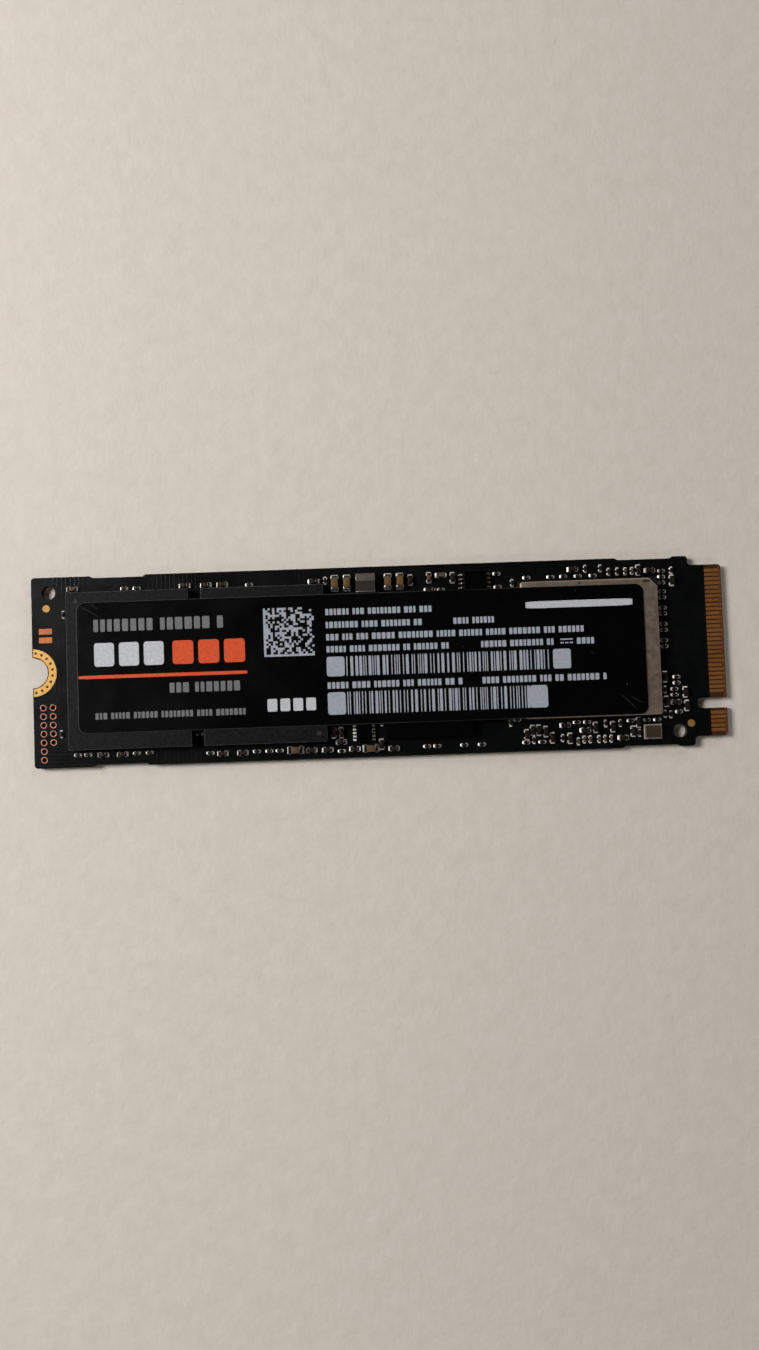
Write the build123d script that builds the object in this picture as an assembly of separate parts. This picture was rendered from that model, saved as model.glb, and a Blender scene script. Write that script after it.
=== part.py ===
"""Single-sided M.2 solid-state drive with a keyed edge connector, in millimetres.

Frame: the origin is the centre of the board's underside, +X points to the edge connector, +Z is up.
Lengths along the board add up from the connector to the screw end, and widths are set by the free
strips that the packages leave along the two long edges, so the board and its parts follow each other.
"""
from build123d import *
import os

# Board
board_width = 22.0
board_thickness = 0.8
corner_radius = 0.4
copper = 0.035
pad_clearance = 0.05

# Lengths along the board, from the connector to the screw end
tongue_length = 3.9
connector_zone = 3.95
lid_length = 15.75
controller_gap = 6.0
memory_length = 10.0
power_zone = 6.65
flash_length = 14.0
flash_gap = 1.45
screw_zone = 4.3

# Free strips between the packages and the long edges
flash_strip = 2.0
lid_top_strip = 2.55
lid_bottom_strip = 3.75
memory_top_strip = 4.9
memory_bottom_strip = 2.1

# Edge connector
shoulder_step = 1.075
tongue_corner_radius = 0.45
tongue_root_radius = 0.4
tongue_bevel = 0.15
bare_length = 2.0
key_width = 1.2
key_depth = 3.5
contact_count = 75
contact_width = 0.35
contact_margin = 0.5
contact_setback = 0.4
stub_width = 0.18
first_keyed_contact = 59
last_keyed_contact = 66
ground_contacts = (1, 3, 9, 15, 21, 27, 33, 39, 45, 51, 57, 71, 73, 75)
power_contacts = (2, 4, 12, 14, 16, 18, 70, 72, 74)

# Screw notch, holes, marks and test points
notch_radius = 1.75
screw_pad_margin = 0.1
screw_pad_width = 0.9
tooling_hole_diameter = 1.6
fiducial_diameter = 0.85
test_pad_length = 1.5
test_pad_width = 0.66
test_pad_pitch = 1.0
test_pad_height = 4.25
test_pad_inset = 1.55
sleeve_diameter = 0.75
sleeve_bore = 0.52
sleeve_pitch = 1.0
sleeve_edge_distance = 0.95
sleeve_side_count = 12
sleeve_column_insets = (1.14, 2.24)
sleeve_counts = (7, 5)

# Shallow grip recesses in the long edges
recess_depth = 0.22
recess_ramp = 0.35
screw_recess_inset = 6.75
screw_recess_length = 6.5
connector_recess_inset = 1.7
connector_recess_length = 6.75

# Packages
ball_height = 0.2
ball_inset = 0.7
flash_thickness = 1.0
memory_thickness = 0.85
substrate_thickness = 0.45
substrate_border = 0.15
lid_thickness = 0.65
lid_corner_radius = 0.3
lid_cut = 0.95
lid_edge_radius = 0.08
dimple_diameter = 0.55
dimple_depth = 0.05
dimple_inset = 1.0

# Label
label_thickness = 0.12
label_corner_radius = 1.0
label_screw_margin = 1.2
label_connector_margin = 1.65
label_bottom_margin = 0.07
label_top_margin = 0.63

# Power inductor
inductor_length = 2.15
inductor_width = 2.23
inductor_height = 1.1
inductor_metal = 0.06
inductor_wide_band = 0.85
inductor_narrow_band = 0.15

# Regulator
regulator_length = 1.8
regulator_width = 2.1
regulator_thickness = 0.55
regulator_pad_pitch = 0.4
regulator_pad_width = 0.22
regulator_pad_reach = 0.38
regulator_pad_tuck = 0.15
regulator_pad_thickness = 0.1
regulator_pad_count = 5

# Load switch
switch_length = 2.6
switch_width = 2.25
switch_thickness = 0.65
switch_clearance = 0.1
switch_lead_pitch = 0.5
switch_lead_width = 0.22
switch_lead_thickness = 0.12
switch_lead_reach = 0.55
switch_lead_foot = 0.38
switch_lead_count = 4

# Crystal
crystal_length = 2.05
crystal_width = 1.7
crystal_base_thickness = 0.3
crystal_lid_thickness = 0.2
crystal_lid_inset = 0.1
crystal_corner_radius = 0.22

# Chip parts: length, width, height and end-terminal length of each case
chip_cases = {
    "small": (0.6, 0.3, 0.3, 0.16),
    "medium": (1.0, 0.5, 0.5, 0.25),
    "large": (1.6, 0.8, 0.8, 0.32),
}
chip_body_inset = 0.02
lane_count = 4
lane_pitch = 1.89
lane_edge_distance = 4.39
lane_pair_pitch = 0.68

# Places along the board
board_length = (
    tongue_length + connector_zone + lid_length + controller_gap + memory_length
    + power_zone + 2 * flash_length + flash_gap + screw_zone
)
connector_end = board_length / 2
screw_end = -connector_end
shoulder = connector_end - tongue_length
lid_right = shoulder - connector_zone
lid_left = lid_right - lid_length
memory_right = lid_left - controller_gap
memory_left = memory_right - memory_length
flash_inner_right = memory_left - power_zone
flash_inner_left = flash_inner_right - flash_length
flash_outer_right = flash_inner_left - flash_gap
flash_outer_left = flash_outer_right - flash_length
bare_start = connector_end - bare_length

# Places across the board
top_edge = board_width / 2
bottom_edge = -top_edge
flash_width = board_width - 2 * flash_strip
lid_top = top_edge - lid_top_strip
lid_bottom = bottom_edge + lid_bottom_strip
memory_top = top_edge - memory_top_strip
memory_bottom = bottom_edge + memory_bottom_strip
tongue_width = board_width - 2 * shoulder_step
contact_step = (tongue_width - 2 * contact_margin - contact_width) / (contact_count - 1)

# Levels
package_base = board_thickness + ball_height
flash_level = package_base + flash_thickness
memory_level = package_base + memory_thickness
substrate_level = package_base + substrate_thickness
lid_level = substrate_level + lid_thickness

# Holes and marks: places on the board
tooling_holes = ((screw_end + 1.97, top_edge - 1.8), (shoulder - 1.71, bottom_edge + 1.75))
fiducials = ((screw_end + 1.69, top_edge - 3.6), (shoulder - 0.39, bottom_edge + 2.6))
inductor_place = (memory_left - 0.262 * power_zone, top_edge - 1.98)
regulator_place = (flash_inner_right + 0.629 * power_zone, bottom_edge + 2.82)
switch_place = (lid_left - 0.845 * controller_gap, top_edge - 2.1)
crystal_place = (lid_left + 0.938 * lid_length, bottom_edge + 1.79)

ON_BASE = (Align.CENTER, Align.CENTER, Align.MIN)
SAME_PLACE = 0.001


def block(length, width, height, x, y, z):
    """Box centred on (x, y) and standing on level z."""
    return Pos(x, y, z) * Box(length, width, height, align=ON_BASE)


def span(left, right, bottom, top, base, level):
    """Box between two x, two y and two z places."""
    return block(right - left, top - bottom, level - base, (left + right) / 2, (bottom + top) / 2, base)


def plate(sketch, base, thickness):
    """Flat sketch lifted to a level and thickened upwards."""
    return extrude(Pos(0, 0, base) * sketch, thickness)


def side_profile(points, middle, width):
    """Outline in x and z, swept across the board about y = middle."""
    face = make_face(Polyline(*[(x, middle, z) for x, z in points], close=True))
    return extrude(face, width / 2, dir=(0, 1, 0), both=True)


def corners(sketch, *places):
    """Vertices of a sketch that lie at the given places."""
    return [
        vertex for vertex in sketch.vertices()
        if any(abs(vertex.X - x) + abs(vertex.Y - y) < SAME_PLACE for x, y in places)
    ]


def both_edges(places):
    """The given (x, y) places and their mirror images in the board's centre line."""
    return [*places, *((x, -y) for x, y in places)]


# Circuit board
def edge_recess(start, length, side):
    """Shallow trapezoid in a long edge; side is +1 for the top edge and -1 for the bottom edge."""
    edge = side * top_edge
    floor = edge - side * recess_depth
    end = start + length
    points = [(start, edge), (start + recess_ramp, floor), (end - recess_ramp, floor), (end, edge)]
    return make_face(Polyline(*points, close=True))


def sleeve_places():
    """Columns of plated test holes beside the screw notch, level with each other at their upper ends."""
    upper = bottom_edge + sleeve_edge_distance + (max(sleeve_counts) - 1) * sleeve_pitch
    return [
        (screw_end + inset, upper - i * sleeve_pitch)
        for inset, count in zip(sleeve_column_insets, sleeve_counts)
        for i in range(count)
    ]


def sleeve_outline(diameter):
    return RegularPolygon(diameter / 2, sleeve_side_count)


def contact_height(number):
    """Place of a numbered contact across the tongue."""
    return ((contact_count + 1) / 2 - number) * contact_step


def board_outline():
    """Board with its connector tongue, key slot, screw notch, recesses and holes."""
    body = Pos((screw_end + shoulder) / 2, 0) * Rectangle(shoulder - screw_end, board_width)
    body = fillet(body.vertices(), corner_radius)
    tongue = Pos(connector_end - tongue_length, 0) * Rectangle(2 * tongue_length, tongue_width)
    tongue = fillet(corners(tongue, *both_edges([(connector_end, tongue_width / 2)])), tongue_corner_radius)
    outline = body + tongue
    outline = fillet(corners(outline, *both_edges([(shoulder, tongue_width / 2)])), tongue_root_radius)
    connector_recess_start = shoulder - connector_recess_inset - connector_recess_length
    key_height = contact_height((first_keyed_contact + last_keyed_contact) / 2)
    cuts = [
        Pos(screw_end, 0) * Circle(notch_radius),
        Pos(connector_end, key_height) * SlotOverall(2 * key_depth, key_width),
    ]
    for side in (1, -1):
        cuts.append(edge_recess(screw_end + screw_recess_inset, screw_recess_length, side))
        cuts.append(edge_recess(connector_recess_start, connector_recess_length, side))
    cuts += [Pos(x, y) * Circle(tooling_hole_diameter / 2) for x, y in tooling_holes]
    cuts += [Pos(x, y) * sleeve_outline(sleeve_diameter) for x, y in sleeve_places()]
    return outline - cuts


def screw_pad_outline(growth=0.0):
    """Half ring round the screw notch, grown all round by the given amount."""
    inner = notch_radius + screw_pad_margin
    ring = Circle(inner + screw_pad_width + growth) - Circle(inner - growth)
    reach = inner + screw_pad_width + screw_pad_margin
    keep = Pos(screw_pad_margin - growth + reach / 2, 0) * Rectangle(reach, 2 * reach)
    return Pos(screw_end, 0) * (ring & keep)


def fiducial_outlines(growth=0.0):
    return [Pos(x, y) * Circle(fiducial_diameter / 2 + growth) for x, y in fiducials]


def test_pad_outlines(growth=0.0):
    return [
        Pos(screw_end + test_pad_inset, test_pad_height + side * test_pad_pitch / 2)
        * Rectangle(test_pad_length + 2 * growth, test_pad_width + 2 * growth)
        for side in (1, -1)
    ]


def circuit_board():
    """Laminate with bare, thinner and bevelled connector edge and a shallow pocket for each bare pad."""
    board = plate(board_outline(), 0, board_thickness)
    top_copper = board_thickness - copper
    for base in (0, top_copper):
        board -= span(bare_start, connector_end, bottom_edge, top_edge, base, base + copper)
    bevel_start = connector_end - tongue_bevel
    for face, inward in ((top_copper, -1), (copper, 1)):
        corner = [(bevel_start, face), (connector_end, face), (connector_end, face + inward * tongue_bevel)]
        board -= side_profile(corner, 0, board_width)
    pockets = [screw_pad_outline(pad_clearance), *fiducial_outlines(pad_clearance)]
    pockets += test_pad_outlines(pad_clearance)
    for pocket in pockets:
        board -= plate(pocket, top_copper, copper)
    board -= plate(screw_pad_outline(pad_clearance), 0, copper)
    return [board]


def test_sleeves():
    """Plated through-holes, seen as copper rings on both faces."""
    ring = sleeve_outline(sleeve_diameter) - sleeve_outline(sleeve_bore)
    return [plate(Pos(x, y) * ring, 0, board_thickness) for x, y in sleeve_places()]


def surface_pads(outlines, base):
    return [plate(outline, base, copper) for outline in outlines]


# Edge contacts
def contact_outline(number, with_stub):
    """One contact finger; a plating stub runs on towards the bevelled edge where it has one."""
    y = contact_height(number)
    tip = connector_end - contact_setback
    finger = Pos((bare_start + tip) / 2, y) * Rectangle(tip - bare_start, contact_width)
    if with_stub:
        stub_end = connector_end - tongue_bevel
        finger += Pos((bare_start + stub_end) / 2, y) * Rectangle(stub_end - bare_start, stub_width)
    return finger


def contacts(first, plain, with_stub):
    """Every second contact from the first, either those listed as plain or all the others."""
    keyed = range(first_keyed_contact, last_keyed_contact + 1)
    numbers = [n for n in range(first, contact_count + 1, 2) if n not in keyed]
    chosen = [n for n in numbers if (n in plain) != with_stub]
    base = board_thickness - copper if first % 2 else 0
    return [plate(contact_outline(n, with_stub), base, copper) for n in chosen]


# Ball-grid packages
def ball_field(left, right, bottom, top):
    """Field of solder joints under a package, as one thin block."""
    return span(
        left + ball_inset, right - ball_inset, bottom + ball_inset, top - ball_inset,
        board_thickness, package_base,
    )


def flash_package(left, dimple_x, dimple_y):
    """Moulded package with a round corner mark sunk in its top face."""
    half = flash_width / 2
    package = span(left, left + flash_length, -half, half, package_base, flash_level)
    mark = Pos(dimple_x, dimple_y, flash_level - dimple_depth) * Cylinder(
        dimple_diameter / 2, dimple_depth, align=ON_BASE)
    return [package - mark]


def memory_package():
    return [span(memory_left, memory_right, memory_bottom, memory_top, package_base, memory_level)]


def controller_substrate():
    border = substrate_border
    return [span(
        lid_left - border, lid_right + border, lid_bottom - border, lid_top + border,
        package_base, substrate_level,
    )]


def controller_lid():
    """Metal lid with three small rounded corners, one cut corner and a softened upper rim."""
    width = lid_top - lid_bottom
    outline = Pos((lid_left + lid_right) / 2, (lid_bottom + lid_top) / 2) * Rectangle(lid_length, width)
    rounded = [(lid_left, lid_bottom), (lid_left, lid_top), (lid_right, lid_bottom)]
    outline = fillet(corners(outline, *rounded), lid_corner_radius)
    outline = chamfer(corners(outline, (lid_right, lid_top)), lid_cut)
    lid = plate(outline, substrate_level, lid_thickness)
    return [chamfer(lid.faces().sort_by(Axis.Z)[-1].edges(), lid_edge_radius)]


# Label
def label():
    """Film that lies on the packages and bridges the gaps between them."""
    left = flash_outer_left + label_screw_margin
    right = lid_right - label_connector_margin
    bottom = lid_bottom + label_bottom_margin
    width = lid_top - label_top_margin - bottom
    middle = bottom + width / 2
    underside = [
        (left, flash_level), (flash_inner_right, flash_level), (memory_left, memory_level),
        (memory_right, memory_level), (lid_left, lid_level), (right, lid_level),
    ]
    upper = [(x, z + label_thickness) for x, z in reversed(underside)]
    film = side_profile(underside + upper, middle, width)
    cut = Pos((left + right) / 2, middle) * RectangleRounded(right - left, width, label_corner_radius)
    return [film & plate(cut, board_thickness, lid_level)]


# Leaded and special parts
def power_inductor():
    """Moulded core and the two metal bands that wrap its ends."""
    x, y = inductor_place
    back, front = y - inductor_length / 2, y + inductor_length / 2
    level = board_thickness + inductor_height
    core = block(
        inductor_width, inductor_length - 2 * inductor_metal, inductor_height - inductor_metal,
        x, y, board_thickness,
    )
    bands = []
    for end, inward, band in ((front, -1, inductor_wide_band), (back, 1, inductor_narrow_band)):
        wrap = [
            (end, board_thickness), (end, level), (end + inward * band, level),
            (end + inward * band, level - inductor_metal),
            (end + inward * inductor_metal, level - inductor_metal),
            (end + inward * inductor_metal, board_thickness),
        ]
        face = make_face(Polyline(*[(x, v, z) for v, z in wrap], close=True))
        bands.append(extrude(face, inductor_width / 2, dir=(1, 0, 0), both=True))
    return [core], bands


def centred(count, pitch):
    """Evenly pitched places about zero."""
    return [(i - (count - 1) / 2) * pitch for i in range(count)]


def regulator():
    """Leadless package on two rows of pads that reach out past its sides."""
    x, y = regulator_place
    base = board_thickness + regulator_pad_thickness
    body = block(regulator_length, regulator_width, regulator_thickness, x, y, base)
    pad_length = regulator_pad_reach + regulator_pad_tuck
    pad_offset = regulator_length / 2 + (regulator_pad_reach - regulator_pad_tuck) / 2
    pads = [
        block(pad_length, regulator_pad_width, regulator_pad_thickness,
              x + side * pad_offset, y + dy, board_thickness)
        for side in (-1, 1)
        for dy in centred(regulator_pad_count, regulator_pad_pitch)
    ]
    return [body], pads


def load_switch():
    """Moulded body with gull-wing leads along two sides."""
    x, y = switch_place
    base = board_thickness + switch_clearance
    body = block(switch_length, switch_width, switch_thickness, x, y, base)
    root = base + switch_thickness / 2
    metal = switch_lead_thickness
    floor = board_thickness
    knee = switch_lead_reach - switch_lead_foot
    wing = [
        (0, root - metal / 2), (knee, root - metal / 2), (knee, floor), (switch_lead_reach, floor),
        (switch_lead_reach, floor + metal), (knee + metal, floor + metal),
        (knee + metal, root + metal / 2), (0, root + metal / 2),
    ]
    leads = []
    for side in (-1, 1):
        points = [(x + side * (switch_length / 2 + reach), z) for reach, z in wing]
        for dy in centred(switch_lead_count, switch_lead_pitch):
            leads.append(side_profile(points, y + dy, switch_lead_width))
    return [body], leads


def crystal():
    """Ceramic base closed by a smaller metal lid with rounded corners."""
    x, y = crystal_place
    lid_base = board_thickness + crystal_base_thickness
    base = block(crystal_length, crystal_width, crystal_base_thickness, x, y, board_thickness)
    outline = Pos(x, y) * RectangleRounded(
        crystal_length - 2 * crystal_lid_inset, crystal_width - 2 * crystal_lid_inset, crystal_corner_radius)
    return [base], [plate(outline, lid_base, crystal_lid_thickness)]


# Chip parts
def along_x(case, y, *places):
    """Chips of one case in a row, each lying along the board."""
    return [(case, True, x, y) for x in places]


def along_y(case, y, *places):
    """Chips of one case in a row, each lying across the board."""
    return [(case, False, x, y) for x in places]


def set_out(x, y, chips):
    """Chips moved from a zone's own corner to their places on the board."""
    return [(case, lengthwise, x + dx, y + dy) for case, lengthwise, dx, dy in chips]


def spread(left, right, y, chips):
    """Chips drawn out or in along the board so that the first and the last fall at two places."""
    offsets = [dx for case, lengthwise, dx, dy in chips]
    first = min(offsets)
    stretch = (right - left) / (max(offsets) - first)
    return [(case, lengthwise, left + (dx - first) * stretch, y + dy) for case, lengthwise, dx, dy in chips]


def chip(case, lengthwise, x, y):
    """Body and two end terminals of one chip part standing on the board."""
    length, width, height, terminal = chip_cases[case]
    body_length = length - 2 * terminal
    body = Box(body_length, width - 2 * chip_body_inset, height - 2 * chip_body_inset)
    ends = [
        Pos(side * (length - terminal) / 2, 0, 0) * Box(terminal, width, height)
        for side in (-1, 1)
    ]
    place = Pos(x, y, board_thickness + height / 2) * Rot(0, 0, 0 if lengthwise else 90)
    return place * body, [place * end for end in ends]


def chip_set(chips):
    """Bodies and terminals of a list of chip parts, as two groups of solids."""
    built = [chip(*each) for each in chips]
    return [body for body, ends in built], [end for body, ends in built for end in ends]


def lane_chips():
    """Pairs of coupling capacitors, one pair for each lane of the connector."""
    chips = []
    for lane in range(lane_count):
        middle = -lane_edge_distance - lane * lane_pitch
        for side in (1, -1):
            chips += along_x("small", middle + side * lane_pair_pitch / 2, 0)
    return chips


chip_groups = {
    "flash_top_chip": (
        spread(flash_outer_left + 6.47, flash_outer_right - 0.55, top_edge, [
            *along_x("small", -1.58, 6.47, 7.92),
            *along_x("medium", -1.5, 13.45),
        ])
        + spread(flash_inner_left + 0.45, flash_inner_right - 1.08, top_edge, [
            *along_x("medium", -1.5, 0.45, 2.35),
            *along_x("small", -1.63, 5.46),
            *along_x("medium", -1.5, 12.92),
        ])
    ),
    "flash_bottom_chip": (
        spread(flash_outer_left + 0.72, flash_outer_right - 5.06, bottom_edge, [
            *along_x("small", 1.4, 0.72, 1.9, 7.47, 8.94),
            *along_x("medium", 1.32, 3.62, 5.84),
        ])
        + set_out(flash_outer_right + flash_gap / 2, bottom_edge, along_x("small", 3.4, 0))
        + spread(flash_inner_left + 0.45, flash_inner_right - 0.06, bottom_edge, [
            *along_x("small", 1.1, 0.45, 5.79, 7.24, 8.41),
            *along_x("medium", 1.0, 1.87, 4.17, 12.08, 13.94),
        ])
    ),
    "screw_end_chip": (
        set_out(screw_end, top_edge, along_y("small", -4.36, 3.66))
        + set_out(screw_end, bottom_edge, along_y("small", 3.88, 3.16))
    ),
    "power_top_chip": (
        set_out(flash_inner_right, top_edge, along_y("small", -1.45, 0.25))
        + spread(memory_left + 3.44, memory_right - 1.64, top_edge, [
            *along_y("medium", -1.73, 3.44),
            *along_x("medium", -3.0, 5.67),
            *along_x("small", -2.97, 6.98),
            *along_y("medium", -1.62, 8.36),
        ])
        + spread(lid_left - 0.417 * controller_gap, lid_left - 0.125 * controller_gap, top_edge, [
            *along_x("small", -1.33, -2.5),
            *along_x("small", -2.87, -2.43),
            *along_y("small", -2.47, -0.75),
        ])
    ),
    "power_bottom_chip": (
        set_out(flash_inner_right, bottom_edge, [
            *along_x("small", 0.8, 1.54),
            *along_x("medium", 1.83, 1.52),
            *along_x("medium", 1.0, 3.05),
            *along_y("medium", 2.92, 0.68, 1.54),
        ])
        + set_out(memory_left, bottom_edge, [
            *along_y("medium", 1.43, -0.5),
            *along_y("small", 3.95, -0.4),
            *along_x("medium", 0.9, 0.9),
        ])
    ),
    "memory_bottom_chip": spread(memory_left + 4.73, memory_right + 1.03, bottom_edge, [
        *along_x("small", 1.0, 4.73, 5.89, 8.99, 11.03),
    ]),
    "controller_top_chip": spread(lid_left + 0.94, lid_right - 0.49, top_edge, [
        *along_x("small", -1.92, 0.94, 3.74, 5.22, 6.92, 8.65),
        *along_x("medium", -1.13, 6.33),
        *along_y("small", -1.11, 7.78, 9.53),
        *along_y("small", -1.54, 10.5, 11.49),
        *along_y("medium", -1.47, 13.93),
        *along_x("medium", -1.54, 15.26),
    ]),
    "controller_bottom_chip": spread(lid_left - 1.55, lid_right - 0.38, bottom_edge, [
        *along_y("small", 3.38, -1.55),
        *along_x("small", 3.7, -0.8),
        *along_y("medium", 1.93, 0.25),
        *along_y("medium", 2.4, 0.95, 1.63),
        *along_y("medium", 2.22, 2.44),
        *along_y("medium", 1.47, 3.17),
        *along_y("small", 1.28, 1.06),
        *along_x("small", 1.04, 0.15, 2.0),
        *along_x("medium", 2.86, 4.72),
        *along_y("small", 1.4, 4.37),
        *along_y("medium", 1.35, 5.22),
        *along_x("small", 3.14, 6.07, 7.26, 12.29, 14.18, 15.37),
        *along_y("medium", 2.5, 8.2, 10.2),
        *along_y("small", 2.9, 9.4, 11.08),
        *along_y("medium", 2.9, 13.18),
        *along_x("medium", 2.21, 7.02),
        *along_y("medium", 1.9, 12.53),
        *along_y("small", 1.7, 13.24),
        *along_x("medium", 1.2, 11.36),
    ]),
    "coupling_chip": set_out(shoulder - 0.787 * connector_zone, top_edge, [
        *lane_chips(),
        *along_x("small", -1.65, 0),
        *along_x("small", -2.34, 0),
        *along_x("small", -3.01, 0),
    ]),
    "connector_side_chip": (
        set_out(shoulder - 0.49 * connector_zone, top_edge, [
            *along_y("small", -1.65, 0),
            *along_y("medium", -2.8, 0),
        ])
        + spread(shoulder - 0.851 * connector_zone, shoulder - 0.215 * connector_zone, bottom_edge, [
            *along_y("medium", 8.06, -3.23),
            *along_y("small", 6.57, -3.26),
            *along_y("medium", 5.2, -3.18),
            *along_y("small", 3.77, -3.36),
            *along_y("small", 3.7, -2.73),
            *along_x("small", 8.0, -1.89),
            *along_x("small", 7.31, -1.89),
            *along_x("small", 6.61, -2.19),
            *along_x("small", 5.93, -2.19),
            *along_x("medium", 5.1, -2.1),
            *along_x("small", 3.97, -1.77),
            *along_y("medium", 6.21, -0.95),
            *along_y("medium", 4.65, -0.85),
        ])
    ),
    "tan_chip": (
        set_out(flash_outer_left, top_edge, along_x("medium", -1.45, 0.46))
        + set_out(flash_inner_left + 0.731 * flash_length, bottom_edge, along_x("large", 1.1, 0))
        + set_out(flash_inner_right + 0.737 * power_zone, bottom_edge, along_x("large", 1.0, 0))
        + spread(memory_left + 0.562 * memory_length, memory_left + 0.701 * memory_length, top_edge, [
            *along_y("medium", -1.52, 5.62),
            *along_x("medium", -1.27, 7.01),
        ])
        + spread(lid_left + 0.79 * lid_length, lid_left + 0.839 * lid_length, top_edge, [
            *along_y("small", -1.54, 12.45, 13.21),
        ])
        + spread(lid_left + 0.391 * lid_length, lid_left + 0.632 * lid_length, bottom_edge, [
            *along_y("small", 0.95, 6.16),
            *along_y("small", 1.15, 6.86, 7.55),
            *along_y("small", 1.13, 8.55, 9.25, 9.95),
        ])
    ),
    "bulk_capacitor": (
        spread(flash_inner_right + 0.203 * power_zone, flash_inner_right + 0.414 * power_zone, top_edge, [
            *along_y("large", -1.8, 1.35, 2.75),
        ])
        + set_out(memory_left, top_edge, along_y("large", -1.8, 0.85, 2.25))
    ),
}


def build_nodes():
    """All pieces by node name, each as a list of solids."""
    half = flash_width / 2
    top_copper = board_thickness - copper
    inductor_core, inductor_bands = power_inductor()
    regulator_body, regulator_pads = regulator()
    switch_body, switch_leads = load_switch()
    crystal_base, crystal_lid = crystal()
    nodes = {
        "circuit_board": circuit_board(),
        "screw_pad_top": surface_pads([screw_pad_outline()], top_copper),
        "screw_pad_bottom": surface_pads([screw_pad_outline()], 0),
        "fiducial_marks": surface_pads(fiducial_outlines(), top_copper),
        "test_pads": surface_pads(test_pad_outlines(), top_copper),
        "test_sleeves": test_sleeves(),
        "top_ground_contacts": contacts(1, ground_contacts, False),
        "top_signal_contacts": contacts(1, ground_contacts, True),
        "bottom_power_contacts": contacts(2, power_contacts, False),
        "bottom_signal_contacts": contacts(2, power_contacts, True),
        "flash_package_outer": flash_package(
            flash_outer_left, flash_outer_left + dimple_inset, half - dimple_inset),
        "flash_package_inner": flash_package(
            flash_inner_left, flash_inner_right - dimple_inset, dimple_inset - half),
        "flash_solder_joints": [
            ball_field(left, left + flash_length, -half, half)
            for left in (flash_outer_left, flash_inner_left)
        ],
        "memory_package": memory_package(),
        "memory_solder_joints": [ball_field(memory_left, memory_right, memory_bottom, memory_top)],
        "controller_substrate": controller_substrate(),
        "controller_lid": controller_lid(),
        "controller_solder_joints": [ball_field(lid_left, lid_right, lid_bottom, lid_top)],
        "label": label(),
        "inductor_core": inductor_core,
        "inductor_bands": inductor_bands,
        "regulator_body": regulator_body,
        "regulator_pads": regulator_pads,
        "load_switch_body": switch_body,
        "load_switch_leads": switch_leads,
        "crystal_base": crystal_base,
        "crystal_lid": crystal_lid,
    }
    for group, chips in chip_groups.items():
        nodes[group + "_bodies"], nodes[group + "_terminals"] = chip_set(chips)
    return nodes


def main():
    os.makedirs("parts", exist_ok=True)
    for name, shapes in build_nodes().items():
        solids = [solid for shape in shapes for solid in shape.solids()]
        export_step(Compound(solids), f"parts/{name}.step")
    print(f"board {board_length:.3f} x {board_width:.3f}, height {lid_level + label_thickness:.3f}")


if __name__ == "__main__":
    main()
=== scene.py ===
"""Looks of the solid-state drive: softened packages, solder, label print, materials, light and camera."""
import math
import random

import bpy
from mathutils import Matrix, Vector


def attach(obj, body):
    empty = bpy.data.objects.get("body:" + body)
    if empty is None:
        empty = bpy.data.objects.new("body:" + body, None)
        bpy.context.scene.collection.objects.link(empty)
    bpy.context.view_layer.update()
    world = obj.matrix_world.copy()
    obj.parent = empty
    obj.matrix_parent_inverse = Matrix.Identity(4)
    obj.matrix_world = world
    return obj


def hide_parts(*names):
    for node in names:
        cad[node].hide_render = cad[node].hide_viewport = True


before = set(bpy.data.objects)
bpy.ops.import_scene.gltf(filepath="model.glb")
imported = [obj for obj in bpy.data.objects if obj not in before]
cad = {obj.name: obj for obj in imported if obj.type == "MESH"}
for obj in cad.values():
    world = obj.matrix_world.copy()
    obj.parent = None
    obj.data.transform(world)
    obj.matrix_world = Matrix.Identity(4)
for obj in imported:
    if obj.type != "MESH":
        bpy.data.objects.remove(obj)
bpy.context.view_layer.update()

MM = 0.001
BOARD_TOP = 0.8 * MM
CAN_TOP = max(corner[2] for corner in cad["crystal_lid"].bound_box)
LID_TOP = 2.1 * MM
BARE_FROM = 37.995 * MM
TIP_FROM = 39.62 * MM
SCREW_X = -40.0 * MM
NOTCH_RIM_RADIUS = 1.86 * MM
SCREW_PAD_RADIUS = 2.3 * MM
DIMPLE_RADIUS = 0.3 * MM
DIMPLE_PLACES = ((-34.7 * MM, 8.0 * MM, 1.95 * MM), (-7.25 * MM, -8.0 * MM, 1.95 * MM))
LABEL_CREASES = (
    (-34.2, 7.5, -31.6, 5.9), (-33.0, 7.7, -31.9, 6.9), (27.2, -4.6, 29.2, -6.6), (28.4, -5.0, 29.9, -5.9),
)
LABEL_PROFILE = ((-40.0, 2.12), (-6.25, 2.12), (0.4, 1.97), (10.4, 1.97), (16.4, 2.22), (40.0, 2.22))
INK = 0.004
TALL_CHIP = 0.6 * MM
END_REACH = 0.16 * MM
SIDE_REACH = 0.07 * MM
SOLDER_RISE = 0.62
CHIP_GROUPS = (
    "flash_top_chip", "flash_bottom_chip", "screw_end_chip", "power_top_chip", "power_bottom_chip",
    "memory_bottom_chip", "controller_top_chip", "controller_bottom_chip", "coupling_chip",
    "connector_side_chip", "tan_chip", "bulk_capacitor",
)
# Most chips, the tantalum ones too, get terminals of tin painted dark as shade; the bulk capacitors keep bright tin.
CHIP_FINISHES = {
    "tan_chip": ("brown_chips", "tan_chips", "shaded_tin_terminals"),
    "bulk_capacitor": ("tan_chips", "tan_chips", "tin_terminals"),
}
PLAIN_CHIP_FINISH = ("dark_chips", "dark_chips", "shaded_tin_terminals")


# Materials
def linear(colour):
    """Display colour in 0 to 255, as a linear colour."""
    values = [c / 255 for c in colour]
    return tuple(((c + 0.055) / 1.055) ** 2.4 if c > 0.04 else c / 12.92 for c in values) + (1.0,)


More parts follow.
